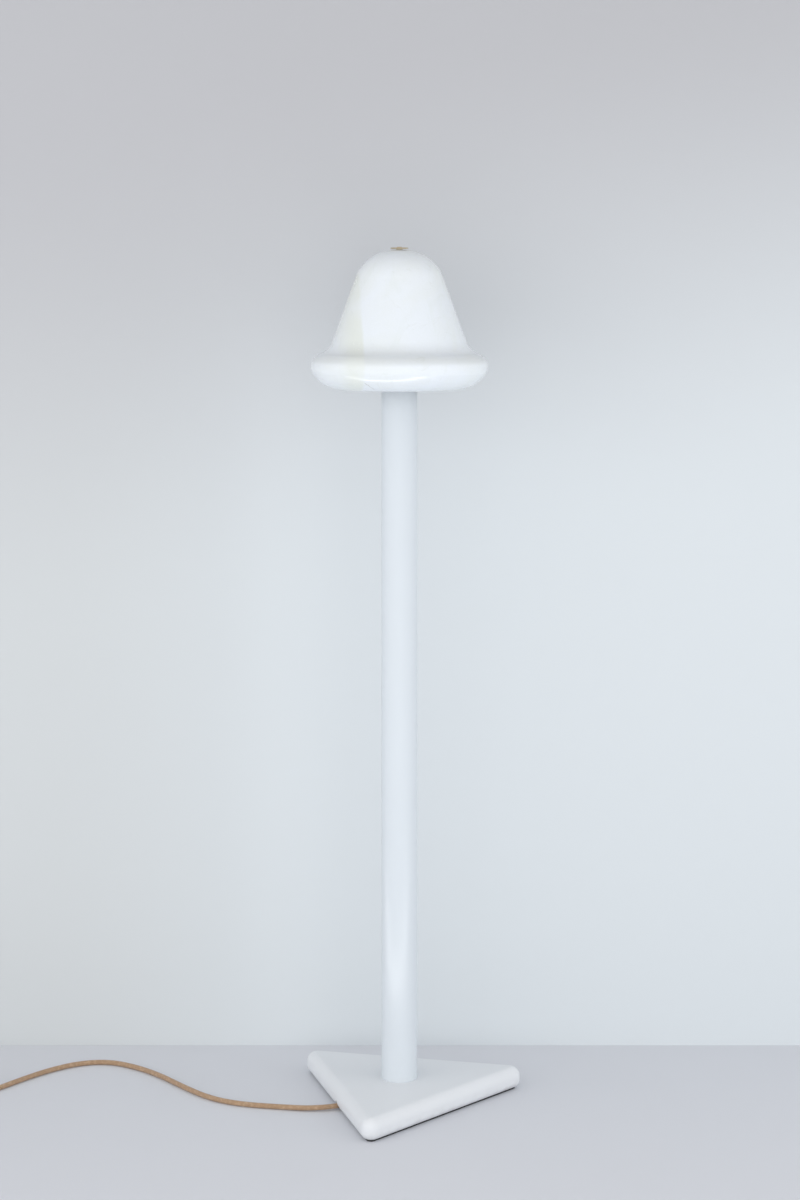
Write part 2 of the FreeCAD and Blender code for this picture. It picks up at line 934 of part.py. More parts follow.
def switchCover():
    body = stadium(switchLength, switchWidth, switchSplit, switchHeight)
    body = body.makeFillet(switchTopFillet, levelEdges(body, switchHeight))
    body = body.cut(switchInside(switchSplit, switchHeight - switchWall))
    body = body.fuse(switchBosses(switchSplit, switchHeight - switchWall))
    boreTop = switchSplit + switchScrewReach + switchScrewRoom
    bores = switchBores(switchScrewRadius + holeClearance, switchSplit, boreTop)
    body = body.cut(bores)
    body = body.cut(cylinder(buttonRadius + buttonGap, switchSplit, switchHeight))
    return body.cut(cordNotch(reliefNeckRadius + holeClearance)).removeSplitter()


def buttonBottom():
    return switchHeight - switchWall - buttonFlangeHeight - buttonGap


def switchButton():
    bottom = buttonBottom()
    top = switchHeight + buttonProud
    cap = cylinder(buttonRadius, bottom, top)
    cap = cap.makeFillet(buttonFillet, levelEdges(cap, top))
    flange = cylinder(buttonRadius + buttonFlange, bottom, bottom + buttonFlangeHeight)
    return cap.fuse(flange).removeSplitter()


def springPlace(quarter):
    bottom = switchWall + springWire + springEndGap
    top = buttonBottom() - springWire - springEndGap
    share = quarter / (4 * springTurns)
    return polar(springRadius, 90 * quarter, bottom + (top - bottom) * share)


def switchSpring():
    edges, stations = woundEdges(springPlace, 4 * springTurns)
    return tubeAlong(edges, springWire)


def switchContacts():
    blades = []
    for side in (-1, 1):
        low = side * contactBladePlace - contactBladeWidth / 2
        blades.append(
            block(
                -contactBladeLength / 2,
                contactBladeLength / 2,
                low,
                low + contactBladeWidth,
                switchWall,
                switchWall + contactBladeThickness,
            )
        )
    return Part.makeCompound(blades)


def switchScrews():
    screws = []
    for side in (-1, 1):
        x = side * switchScrewSpacing / 2
        head = cylinder(switchScrewHead, switchHeadDepth, switchHeadDepth + switchHeadHeight, x)
        shank = cylinder(switchScrewRadius, switchHeadDepth, switchSplit + switchScrewReach, x)
        screws.append(head.fuse(shank).removeSplitter())
    return Part.makeCompound(screws)


# A tapered sleeve with a neck in the housing's wall and a flange behind it
def switchRelief(side):
    wall = switchLength / 2
    insideEnd = switchWidth / 2 - switchWall
    hollow = insideEnd - math.sqrt(insideEnd**2 - reliefRootRadius**2)
    flangeEnd = wall - switchWall - hollow - reliefGap
    flangeStart = flangeEnd - reliefFlangeLength
    axis = V(side, 0, 0)
    origin = V(0, 0, switchSplit)
    flange = rod(reliefRootRadius, origin + axis * flangeStart, origin + axis * flangeEnd)
    neck = rod(reliefNeckRadius, origin + axis * flangeStart, origin + axis * (wall + reliefGap))
    cone = Part.makeCone(
        reliefRootRadius, reliefTipRadius, reliefLength, origin + axis * (wall + reliefGap), axis
    )
    return flange.fuse([neck, cone]).removeSplitter()


def switchHalf():
    return switchLength / 2 + reliefGap + reliefLength


# ---- coil, tie and plug


# In along the lower layer at a steady rate, up a layer at the turn, and out again
def coilPlace(quarter):
    middle = coilQuarterTurns / 2
    away = abs(quarter - middle)
    rate = coilPitch / 4
    turning = 1.0
    if away > turning:
        out = rate * (away - turning / 2)
    else:
        out = rate * away**2 / (2 * turning)
    farthest = rate * (middle - turning / 2)
    radius = coilMiddleRadius - farthest / 2 + out
    share = min(max((quarter - middle + turning) / (2 * turning), 0.0), 1.0)
    climb = share * share * (3 - 2 * share)
    height = cordRadius + coilLift + coilPitch * climb
    return coilCentre + polar(radius, coilStartAngle - 90 * quarter, height)


def coilEnds():
    edges, stations = woundEdges(coilPlace, coilQuarterTurns)
    start, startTangent = stations[0]
    end, endTangent = stations[-1]
    return edges, start, startTangent, end, endTangent


def cordCoil():
    edges, start, startTangent, end, endTangent = coilEnds()
    first = Part.LineSegment(start - startTangent * cordDiameter, start).toShape()
    last = Part.LineSegment(end, end + endTangent * cordDiameter).toShape()
    path = [first] + edges + [last]
    length = sum(edge.Length for edge in path)
    solid = tubeAlong(path, cordRadius)
    print("coil length", round(length, 1), "least gap", round(leastGap(edges, cordDiameter), 2))
    print("coil volume over section times length", solid.Volume / (math.pi * cordRadius**2 * length))
    return solid


# A band round all the turns at one place
def coilTie():
    spread = (coilPitch / 4) * (coilQuarterTurns / 2)
    halfWide = spread / 2 + cordRadius + tieGap + coilPitch / 8
    low = tieThickness
    high = coilLift + cordDiameter + coilPitch + tieGap
    outerHalf = halfWide + tieThickness
    outer = block(-outerHalf, outerHalf, 0, tieWidth, 0, high + tieThickness)
    inner = block(-halfWide, halfWide, 0, tieWidth, low, high)
    along = [e for e in outer.Edges if abs(e.tangentAt(e.FirstParameter).y) > 0.99]
    band = outer.makeFillet(tieFillet, along).cut(inner)
    band.translate(V(coilMiddleRadius, -tieWidth / 2, 0))
    band = band.rotate(V(0, 0, 0), V(0, 0, 1), tieAngle)
    band.translate(coilCentre)
    return band


def plugRelief():
    root = plugTailRadius - plugReliefStep
    return Part.makeCone(plugReliefTip, root, plugReliefLength, V(0, 0, 0), V(1, 0, 0))


def alongX(points):
    corners = [V(x, 0, r) for x, r in points]
    wire = Part.makePolygon(corners + [corners[0]])
    return Part.Face(wire).revolve(V(0, 0, 0), V(1, 0, 0), 360)


def plugBody():
    start = plugReliefLength
    taper = start + plugTaperLength
    end = start + plugLength
    body = alongX(
        [(start, 0), (start, plugTailRadius), (taper, plugRadius), (end, plugRadius), (end, 0)]
    )
    ends = [e for e in body.Edges if abs(e.BoundBox.XMin - end) < 1e-6]
    nose = [e for e in ends if e.BoundBox.ZLength > plugRadius]
    body = body.makeFillet(plugNoseFillet, nose)
    for side in (-1, 1):
        body = body.cut(plugSlot(side, plugSlotDepth, holeClearance))
        y = side * pinSpacing / 2
        body = body.cut(rod(pinRadius + holeClearance, V(end - pinSeat, y, 0), V(end, y, 0)))
    return body


def plugSlot(side, depth, clearance):
    end = plugReliefLength + plugLength
    half = plugSlotWidth / 2 + clearance
    low = plugRadius - depth
    shape = block(end - plugSlotLength, end + 1, -half, half, low, plugRadius + 1)
    return shape if side > 0 else shape.rotate(V(0, 0, 0), V(1, 0, 0), 180)


def plugPins():
    end = plugReliefLength + plugLength
    pins = []
    for side in (-1, 1):
        y = side * pinSpacing / 2
        pin = rod(pinRadius, V(end - pinSeat, y, 0), V(end + pinLength, y, 0))
        tip = [e for e in pin.Edges if e.BoundBox.XMin > end + pinLength - 0.01]
        pins.append(pin.makeFillet(pinFillet, tip))
    return Part.makeCompound(pins)


def plugClips():
    end = plugReliefLength + plugLength
    low = plugRadius - plugSlotDepth
    half = plugSlotWidth / 2
    clips = []
    for turn in (0, 180):
        inner = end - plugSlotLength + clipInset
        clip = block(inner, end - clipSetback, -half, half, low, low + clipThickness)
        clips.append(clip.rotate(V(0, 0, 0), V(1, 0, 0), turn))
    return Part.makeCompound(clips)


# ---- the free cord


def floorLeadPoints():
    mouth = exitPoint(plateInradius - exitInset, exitOffset, exitHeight)
    inward = exitPoint(sheathEnd, exitOffset, sheathEndHeight)
    first = mouth + (mouth - inward).normalize() * exitRun
    route = [V(*p) for p in leadRoute]
    last = route[-1] + polar(switchLeadRun, switchHeading)
    return [mouth, first] + route + [last]


def switchStart():
    return floorLeadPoints()[-1]


# Moves a switch piece from its own axes to its place on the cord
def atSwitch(shape):
    centre = switchStart() + polar(switchHalf(), switchHeading)
    centre.z = 0
    return lined(shape, centre, switchHeading)


def feedPoints():
    start = switchStart() + polar(2 * switchHalf(), switchHeading)
    edges, coilStart, startTangent, end, endTangent = coilEnds()
    last = coilStart - startTangent * cordDiameter
    first = start + polar(switchLeadRun, switchHeading)
    before = last - startTangent * coilLeadRun
    return [start, first] + [V(*p) for p in feedRoute] + [before, last]


def plugLeadPoints():
    edges, start, startTangent, end, endTangent = coilEnds()
    flat = V(endTangent.x, endTangent.y, 0).normalize()
    run = plugLeadLength / 3
    first = end + endTangent * cordDiameter
    points = [first, first + flat * run, first + flat * (2 * run), first + flat * plugLeadLength]
    for point in points[2:]:
        point.z = plugRadius
    return points, flat


def atPlug(shape):
    points, flat = plugLeadPoints()
    heading = math.degrees(math.atan2(flat.y, flat.x))
    return lined(shape, points[-1], heading)


def main():
    save("base_plate", basePlate())
    save("base_pad", basePad())
    save("cord_strap", cordStrap())
    save("cord_strap_screws", strapScrews())
    save("cord_grommet", grommet())
    save("inner_lead", innerLead())
    save("earth_terminal", earthTerminal())
    save("earth_screw", earthScrew())
    save("lead_cores", leadCores())
    save("column_tube", columnTube())
    save("column_spigot", columnSpigot())
    save("column_cap", columnCap())
    save("tie_pipe", tiePipe())
    lowerWasher = pocketCeiling - washerThickness
    save("lower_washer", tieWasher(lowerWasher))
    save("lower_nut", hexNut(lowerWasher - nutHeight))
    save("upper_washer", tieWasher(capTop))
    save("upper_nut", hexNut(capTop + washerThickness))
    save("harp_bracket", harpBracket())
    save("holder_dome", holderDome())
    save("holder_shell", holderShell())
    save("holder_insert", holderInsert())
    save("screw_shell", screwShell())
    save("centre_contact", centreContact())
    save("terminal_screws", terminalScrews())
    save("bulb_glass", bulbGlass())
    save("bulb_cap", bulbCap())
    save("bulb_tip", bulbTip())
    save("bulb_filaments", bulbFilaments())
    save("harp_wire", harpWireSolid(harpWire))
    save("harp_sleeves", harpSleeves())
    save("harp_crown", harpCrown())
    save("shade_stud", shadeStud())
    save("stone_shade", stoneShade())
    save("seat_gasket", seatGasket())
    save("finial_washer", finialWasher())
    save("finial", finial())
    save("floor_lead", cordTube("floor_lead", floorLeadPoints(), cordRadius))
    save("switch_base", atSwitch(switchBase()))
    save("switch_cover", atSwitch(switchCover()))
    save("switch_button", atSwitch(switchButton()))
    save("switch_spring", atSwitch(switchSpring()))
    save("switch_contacts", atSwitch(switchContacts()))
    save("switch_screws", atSwitch(switchScrews()))
    save("switch_relief_in", atSwitch(switchRelief(-1)))
    save("switch_relief_out", atSwitch(switchRelief(1)))
    save("coil_feed", cordTube("coil_feed", feedPoints(), cordRadius))
    save("cord_coil", cordCoil())
    save("coil_tie", coilTie())
    save("plug_lead", cordTube("plug_lead", plugLeadPoints()[0], cordRadius))
    save("plug_relief", atPlug(plugRelief()))
    save("plug_body", atPlug(plugBody()))
    save("plug_pins", atPlug(plugPins()))
    save("plug_clips", atPlug(plugClips()))


main()
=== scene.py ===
import json
import math

import bpy
from mathutils import Matrix, Vector


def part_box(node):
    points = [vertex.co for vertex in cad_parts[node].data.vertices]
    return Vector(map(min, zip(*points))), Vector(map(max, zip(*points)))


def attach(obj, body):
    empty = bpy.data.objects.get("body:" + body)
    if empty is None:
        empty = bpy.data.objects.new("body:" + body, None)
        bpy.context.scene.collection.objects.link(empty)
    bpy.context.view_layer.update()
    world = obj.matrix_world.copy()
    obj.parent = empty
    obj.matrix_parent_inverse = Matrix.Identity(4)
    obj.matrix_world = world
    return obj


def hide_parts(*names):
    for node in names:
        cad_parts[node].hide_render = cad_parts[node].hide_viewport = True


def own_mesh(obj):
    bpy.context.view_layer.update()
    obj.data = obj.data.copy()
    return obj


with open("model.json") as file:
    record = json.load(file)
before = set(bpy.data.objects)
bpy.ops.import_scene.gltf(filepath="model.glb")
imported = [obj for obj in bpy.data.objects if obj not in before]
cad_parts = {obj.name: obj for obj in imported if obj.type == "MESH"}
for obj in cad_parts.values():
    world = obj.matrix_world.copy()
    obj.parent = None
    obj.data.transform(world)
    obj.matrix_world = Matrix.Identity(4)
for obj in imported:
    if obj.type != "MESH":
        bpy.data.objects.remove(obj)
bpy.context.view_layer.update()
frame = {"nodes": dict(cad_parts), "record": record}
nodes = frame["nodes"]

# A floor lamp with a turned stone mushroom shade, in metres, +Z up. The column's axis is x = y = 0.


# The camera stands where the photograph was taken from.

cameraSetup = {
    "azimuth": 13.3,  # degrees to the right of straight in front
    "distance": 3.314,
    "height": 1.137,
    "tilt": 0.646,  # degrees down, which keeps the shift small
    "lens": 71.43,
    "shiftX": 0.0005,
    "shiftY": -0.24,
}


def makeCamera(setup):
    angle = math.radians(setup["azimuth"])
    away = Vector((math.sin(angle), -math.cos(angle), 0))
    data = bpy.data.cameras.new("camera")
    data.lens = setup["lens"]
    data.shift_x = setup["shiftX"]
    data.shift_y = setup["shiftY"]
    camera = bpy.data.objects.new("camera", data)
    bpy.context.scene.collection.objects.link(camera)
    camera.location = away * setup["distance"] + Vector((0, 0, setup["height"]))
    down = math.tan(math.radians(setup["tilt"]))
    camera.rotation_euler = (-away - Vector((0, 0, down))).to_track_quat("-Z", "Y").to_euler()
    bpy.context.scene.camera = camera
    return away


viewAway = makeCamera(cameraSetup)
viewRight = Vector((-viewAway.y, viewAway.x, 0))
print("camera placed")


# The cord follows the same points as the floor lead and the tail in the part's source.

cordSetup = {
    "diameter": 0.007,
    "sides": 16,
    "step": 0.0025,  # between rings of the tube
}
leadRoute = [
    (-0.0707, -0.0605, 0.0058),
    (-0.0976, -0.0760, 0.0044),
    (-0.1525, -0.0790, 0.0035),
    (-0.2090, -0.0805, 0.0035),
    (-0.2550, -0.0675, 0.0035),
    (-0.3030, -0.0340, 0.0035),
    (-0.3530, 0.0070, 0.0035),
    (-0.4010, 0.0350, 0.0035),
    (-0.4470, 0.0480, 0.0035),
    (-0.4870, 0.0310, 0.0035),
    (-0.5180, -0.0080, 0.0035),
    (-0.5400, -0.0520, 0.0035),
    (-0.5590, -0.0970, 0.0035),
    (-0.5734, -0.1210, 0.0035),
    (-0.5905, -0.1406, 0.0075),
    (-0.6089, -0.1560, 0.0075),
]
feedRoute = [
    (-0.6996, -0.2321, 0.0075),
    (-0.7180, -0.2476, 0.0075),
    (-0.7448, -0.2510, 0.0035),
    (-0.7693, -0.2396, 0.0046),
    (-0.7850, -0.2160, 0.0046),
    (-0.7850, -0.1850, 0.0046),
]
plugRoute = [
    (-0.7290, -0.1017, 0.0123),
    (-0.7143, -0.1013, 0.0123),
    (-0.6997, -0.1009, 0.0180),
    (-0.6850, -0.1005, 0.0180),
]
coilSetup = {
    "centre": Vector((-0.736, -0.150, 0)),
    "middleRadius": 0.0385,
    "pitch": 0.0077,
    "quarters": 21,
    "perQuarter": 4,
    "startAngle": 180,
    "bottom": 0.0046,
}


def polar(radius, degrees, z=0.0):
    angle = math.radians(degrees)
    return Vector((radius * math.cos(angle), radius * math.sin(angle), z))


# In along the lower layer, up at the turn and out again on top.
def coilPoint(quarter, coil):
    middle = coil["quarters"] / 2
    rate = coil["pitch"] / 4
    away = abs(quarter - middle)
    out = rate * (away - 0.5) if away > 1 else rate * away**2 / 2
    radius = coil["middleRadius"] - rate * (middle - 0.5) / 2 + out
    share = min(max((quarter - middle + 1) / 2, 0.0), 1.0)
    height = coil["bottom"] + coil["pitch"] * share * share * (3 - 2 * share)
    outward = 1 / math.cos(math.pi / (4 * coil["perQuarter"]))  # a spline runs inside its points
    return coil["centre"] + polar(radius * outward, coil["startAngle"] - 90 * quarter, height)


def coilRoute(coil):
    count = coil["quarters"] * coil["perQuarter"]
    return [coilPoint(k / coil["perQuarter"], coil) for k in range(count + 1)]


# The line of a NURBS spline through a route, as evenly spaced points.
def splineLine(route, step):
    curve = bpy.data.curves.new("route", "CURVE")
    curve.dimensions = "3D"
    curve.resolution_u = 24
    spline = curve.splines.new("NURBS")
    spline.points.add(len(route) - 1)
    for point, place in zip(spline.points, route):
        point.co = (*place, 1)
    spline.order_u = 3
    spline.use_endpoint_u = True
    holder = bpy.data.objects.new("route", curve)
    mesh = bpy.data.meshes.new_from_object(holder)
    fine = [vertex.co.copy() for vertex in mesh.vertices]
    bpy.data.objects.remove(holder)
    runs = [(b - a).length for a, b in zip(fine, fine[1:])]
    total = sum(runs)
    count = round(total / step)
    line = [fine[0]]
    walked = 0.0
    index = 0
    for k in range(1, count):
        target = total * k / count
        while walked + runs[index] < target:
            walked += runs[index]
            index += 1
        line.append(fine[index].lerp(fine[index + 1], (target - walked) / runs[index]))
    line.append(fine[-1])
    return line, total


# A closed round tube along a line, with a UV map of metres along and turns around.
def tubeOnLine(name, line, radius, sides):
    tangents = [(b - a).normalized() for a, b in zip(line, line[1:])]
    middle = [(a + b).normalized() for a, b in zip(tangents, tangents[1:])]
    tangents = [tangents[0]] + middle + [tangents[-1]]
    side = tangents[0].cross(Vector((0, 0, 1))).normalized()
    corners = []
    along = [0.0]
    for index, (place, tangent) in enumerate(zip(line, tangents)):
        side = (side - tangent * side.dot(tangent)).normalized()
        over = tangent.cross(side)
        for k in range(sides):
            turn = 2 * math.pi * k / sides
            corners.append(place + (side * math.cos(turn) + over * math.sin(turn)) * radius)
        if index:
            along.append(along[-1] + (place - line[index - 1]).length)
    faces = []
    marks = []
    for ring in range(len(line) - 1):
        for k in range(sides):
            after = (k + 1) % sides
            low, high = ring * sides, (ring + 1) * sides
            faces.append((low + k, low + after, high + after, high + k))
            u0, u1, v0, v1 = along[ring], along[ring + 1], k / sides, (k + 1) / sides
            marks += [(u0, v0), (u0, v1), (u1, v1), (u1, v0)]
    last = len(corners) - sides
    faces.append(tuple(range(sides - 1, -1, -1)))
    faces.append(tuple(range(last, last + sides)))
    marks += [(0.0, 0.0)] * sides + [(along[-1], 0.0)] * sides
    mesh = bpy.data.meshes.new(name)
    mesh.from_pydata(corners, [], faces)
    layer = mesh.uv_layers.new(name="UVMap")
    for loop, mark in zip(layer.data, marks):
        loop.uv = mark
    mesh.polygons.foreach_set("use_smooth", [True] * len(mesh.polygons))
    piece = bpy.data.objects.new(name, mesh)
    bpy.context.scene.collection.objects.link(piece)
    return piece


leadLine, leadTotal = splineLine(leadRoute, cordSetup["step"])
tailLine, tailTotal = splineLine(feedRoute + coilRoute(coilSetup) + plugRoute, cordSetup["step"])
print("cord lengths", round(leadTotal, 4), round(tailTotal, 4))
cordLead = tubeOnLine("cordLead", leadLine, cordSetup["diameter"] / 2, cordSetup["sides"])
cordTail = tubeOnLine("cordTail", tailLine, cordSetup["diameter"] / 2, cordSetup["sides"])
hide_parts("floor_lead")
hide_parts("coil_feed", "cord_coil", "plug_lead")
for piece in (cordLead, cordTail):
    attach(piece, "stand")
print("cords laid")


# A socket whose arithmetic adds Math nodes to its material.
class Value:
    def __init__(self, finish, socket):
        self.finish = finish
        self.socket = socket

    def maths(self, operation, first, second):
        return self.finish.node("ShaderNodeMath", {"operation": operation}, {0: first, 1: second})

    def __add__(self, other):
        return self.maths("ADD", self, other)

    def __radd__(self, other):
        return self.maths("ADD", other, self)

    def __sub__(self, other):
        return self.maths("SUBTRACT", self, other)

    def __rsub__(self, other):
        return self.maths("SUBTRACT", other, self)

    def __mul__(self, other):
        return self.maths("MULTIPLY", self, other)

    def __rmul__(self, other):
        return self.maths("MULTIPLY", other, self)

    def __truediv__(self, other):
        return self.maths("DIVIDE", self, other)

    def __pow__(self, other):
        return self.maths("POWER", self, other)

    def __abs__(self):
        return self.finish.node("ShaderNodeMath", {"operation": "ABSOLUTE"}, {0: self})

    def sine(self):
        return self.finish.node("ShaderNodeMath", {"operation": "SINE"}, {0: self})

    def highest(self, other):
        return self.maths("MAXIMUM", self, other)

    def over(self, limit):
        return self.maths("GREATER_THAN", self, limit)

    # 0 below low, 1 above high and a smooth step between them
    def ramp(self, low, high):
        settings = {"interpolation_type": "SMOOTHSTEP"}
        return self.finish.node("ShaderNodeMapRange", settings, {0: self, 1: low, 2: high})


# A Principled material whose sockets are fed with constants and Values.
class Finish:
    def __init__(self, name, colour, roughness, metallic=0.0):
        self.material = bpy.data.materials.new(name)
        self.material.use_nodes = True
        self.material.diffuse_color = (*colour, 1)
        self.tree = self.material.node_tree
        self.shader = self.tree.nodes["Principled BSDF"]
        self.feed("Base Color", (*colour, 1))
        self.feed("Roughness", roughness)
        self.feed("Metallic", metallic)

    def node(self, kind, settings=None, inputs=None, output=0):
        made = self.tree.nodes.new(kind)
        for key, value in (settings or {}).items():
            setattr(made, key, value)
        for key, value in (inputs or {}).items():
            self.plug(made.inputs[key], value)
        return Value(self, made.outputs[output])

    def plug(self, socket, value):
        if isinstance(value, Value):
            self.tree.links.new(value.socket, socket)
        else:
            socket.default_value = value

    def feed(self, name, value):
        self.plug(self.shader.inputs[name], value)

    def place(self):
        return self.node("ShaderNodeTexCoord", output="Object")

    def axes(self, vector):
        kind = "ShaderNodeSeparateXYZ"
        return [self.node(kind, inputs={0: vector}, output=k) for k in range(3)]

    def stretched(self, vector, scale):
        return self.node("ShaderNodeMapping", inputs={"Vector": vector, "Scale": scale})

    def noise(self, vector, scale, detail=3.0, roughness=0.5, distortion=0.0):
        inputs = {"Vector": vector, "Scale": scale, "Detail": detail}
        inputs.update({"Roughness": roughness, "Distortion": distortion})
        return self.node("ShaderNodeTexNoise", inputs=inputs)

    def cells(self, vector, scale):
        return self.node("ShaderNodeTexVoronoi", inputs={"Vector": vector, "Scale": scale})

    # first where the mask is 0 and second where it is 1
    def blend(self, mask, first, second):
        first, second = [(*c, 1) if isinstance(c, tuple) else c for c in (first, second)]
        inputs = {0: mask, 6: first, 7: second}
        return self.node("ShaderNodeMix", {"data_type": "RGBA"}, inputs, output=2)

    def bump(self, height, distance, strength=1.0):
        inputs = {"Height": height, "Distance": distance, "Strength": strength}
        self.feed("Normal", self.node("ShaderNodeBump", inputs=inputs))


# Linear colour from the 0 to 255 values that a screen shows.
def screen(red, green, blue):
    values = [v / 255 for v in (red, green, blue)]
    return tuple(v / 12.92 if v < 0.04045 else ((v + 0.055) / 1.055) ** 2.4 for v in values)


def darker(colour, share):
    return tuple(v * share for v in colour)


def between(first, second, share):
    return tuple(a + (b - a) * share for a, b in zip(first, second))


paintLook = {
    "column": screen(212, 219, 225),
    # the plate is painted lighter than the column: painted light for its upward-facing top
    "plate": screen(222, 225, 229),
    "roughness": 0.36,
    "grain": 900.0,
}


def paintFinish(name, look, colour, greyPatchHeight):
    finish = Finish(name, colour, look["roughness"])
    place = finish.place()
    z = finish.axes(place)[2]
    broad = finish.noise(place, 7.0, 3.0)
    fine = finish.noise(place, look["grain"], 2.0)
    peel = finish.noise(place, look["grain"] / 4, 1.0)
    tone = finish.blend(broad, darker(colour, 0.975), darker(colour, 1.015))
    # grey, rougher patches, fading out upwards from the floor to the given height
    patches = finish.noise(place, 60.0, 4.0).ramp(0.35, 0.75)
    greyPatches = (1 - z.ramp(0.002, greyPatchHeight)) * patches * 0.5
    finish.feed("Base Color", finish.blend(greyPatches, tone, screen(188, 189, 190)))
    finish.feed("Roughness", look["roughness"] - 0.05 + broad * 0.06 + fine * 0.04 + greyPatches * 0.2)
    finish.bump(fine * 0.4 + peel, 0.00003, 0.6)
    finish.feed("Specular IOR Level", 0.45)
    return finish.material


stoneLook = {
    "white": screen(233, 239, 246),
    "warm": screen(230, 235, 236),
    "wisp": screen(222, 229, 228),
    "vein": screen(226, 231, 227),
    "dark": screen(120, 116, 96),
    "groove": 1.0345,  # height of the shaded line between the dome and the rim
    "veinPlane": -0.058,  # to the right of the axis, as the camera sees it
    "veinTurn": 0.10,  # how far it runs to the right towards the camera
    "veinWidth": 0.026,
    "veinEdge": 0.0025,
    "speck": (-0.0395, -0.1170, 1.0167),
    "speckRadius": (0.0006, 0.0014),  # of its dark middle and of its edge
    "crackStart": (-0.047, 1.0050),  # along the camera's right, and height
    "crackEnd": (-0.0325, 0.9945),
    "crackWidth": (0.0001, 0.0004),
    "crystals": (420.0, 1100.0),  # to the metre
}


def stoneFinish(look):
    finish = Finish("whiteStone", look["white"], 0.16)
    place = finish.place()
    x, y, z = finish.axes(place)
    across = x * viewRight.x + y * viewRight.y
    front = x * viewAway.x + y * viewAway.y
    cloud = finish.noise(place, 9.0, 5.0, 0.55, 0.6)
    wisp = finish.noise(finish.stretched(place, (1.0, 1.0, 0.35)), 26.0, 6.0, 0.6, 1.2)
    colour = finish.blend(cloud.ramp(0.35, 0.7), look["white"], look["warm"])
    colour = finish.blend(wisp.ramp(0.52, 0.75) * 0.35, colour, look["wisp"])
    # crystals that show close up alone
    coarse, fine = look["crystals"]
    crystals = finish.cells(place, coarse) * 0.5 + finish.cells(place, fine) * 0.5
    grain = crystals.ramp(0.15, 0.75)
    colour = finish.blend(grain * 0.16, colour, look["wisp"])
    # painted shade: the stone is darker along the crease between the dome and the rim
    groove = 1 - abs(z - look["groove"]).ramp(0.001, 0.008)
    colour = finish.blend(groove * 0.5, colour, darker(look["warm"], 0.82))
    # one plane of greenish vein, sharp on its inner side and fading outwards
    wander = (finish.noise(place, 16.0, 3.0) - 0.5) * 0.006
    inside = across + wander - front * look["veinTurn"] - look["veinPlane"]
    edge = 1 - inside.ramp(-look["veinEdge"], look["veinEdge"])
    fade = (inside + look["veinWidth"]).ramp(-0.012, 0.014)
    patch = finish.noise(finish.stretched(place, (1.0, 1.0, 0.6)), 22.0, 4.0).ramp(0.25, 0.6)
    vein = edge * fade * (0.45 + patch * 0.55)
    colour = finish.blend(vein, colour, look["vein"])
    # thin hairs of the same vein through the rest of the stone
    hairs = abs(finish.noise(place, 11.0, 4.0, 0.5, 1.5) - 0.5)
    hair = (1 - hairs.ramp(0.0, 0.008)) * wisp.ramp(0.42, 0.58) * 0.2
    colour = finish.blend(hair, colour, between(look["vein"], look["dark"], 0.25))
    # a natural speck on the rim and a hairline fissure under it
    sx, sy, sz = look["speck"]
    gap = ((x - sx) ** 2 + (y - sy) ** 2 + (z - sz) ** 2 * 0.4) ** 0.5
    speck = 1 - gap.ramp(*look["speckRadius"])
    (a0, z0), (a1, z1) = look["crackStart"], look["crackEnd"]
    slope = (z1 - z0) / (a1 - a0)
    jitter = (finish.noise(place, 180.0, 2.0) - 0.5) * 0.0016
    off = abs(z - z0 - (across - a0) * slope + jitter)
    length = across.over(a0) * (1 - across.over(a1)) * front.over(0.0)
    crack = (1 - off.ramp(*look["crackWidth"])) * length
    marks = speck.highest(crack * 0.6)
    colour = finish.blend(marks, colour, look["dark"])
    finish.feed("Base Color", colour)
    finish.feed("Roughness", 0.15 + cloud * 0.05 + grain * 0.04 + vein * 0.06 + marks * 0.3)
    finish.feed("Coat Weight", 0.3)
    finish.feed("Coat Roughness", 0.03)
    finish.feed("Subsurface Weight", 0.12)
    finish.feed("Subsurface Radius", (0.010, 0.010, 0.009))
    finish.feed("Subsurface Scale", 1.0)
    finish.bump(cloud * 0.5 - marks * 0.6 + finish.noise(place, 60.0, 2.0) * 0.12, 0.0003, 0.35)
    return finish.material


# Brushed, plated or cast metal with fine scratches along one direction.
def metalFinish(name, colour, roughness, stretch=(1.0, 1.0, 1.0), wear=0.04, tint=0.92):
    finish = Finish(name, colour, roughness, 1.0)
    place = finish.place()
    scratches = finish.noise(finish.stretched(place, stretch), 700.0, 4.0, 0.6)
    smear = finish.noise(place, 45.0, 3.0)
    finish.feed("Base Color", finish.blend(smear.ramp(0.3, 0.7), colour, darker(colour, tint)))
    finish.feed("Roughness", roughness + smear * wear + scratches * wear)
    finish.bump(scratches, 0.00002, 0.4)
    return finish.material


# Moulded plastic or rubber with a fine spark-eroded grain.
def mouldedFinish(name, colour, roughness, grain=1800.0, depth=0.00004, greyPatches=0.12):
    finish = Finish(name, colour, roughness)
    place = finish.place()
    pits = finish.cells(place, grain)
    broad = finish.noise(place, 35.0, 4.0)
    pale = between(colour, (0.35, 0.34, 0.32), 0.25)
    finish.feed("Base Color", finish.blend(broad.ramp(0.45, 0.8) * greyPatches, colour, pale))
    finish.feed("Roughness", roughness + broad * 0.08)
    finish.bump(pits, depth, 0.6)
    return finish.material


braidLook = {
    "thread": screen(184, 152, 122),
    "light": screen(206, 178, 148),
    "shade": screen(140, 112, 86),
    "around": 12,  # strands each way round the cord
    "lead": 0.022,  # metres along for one full turn of a strand
}


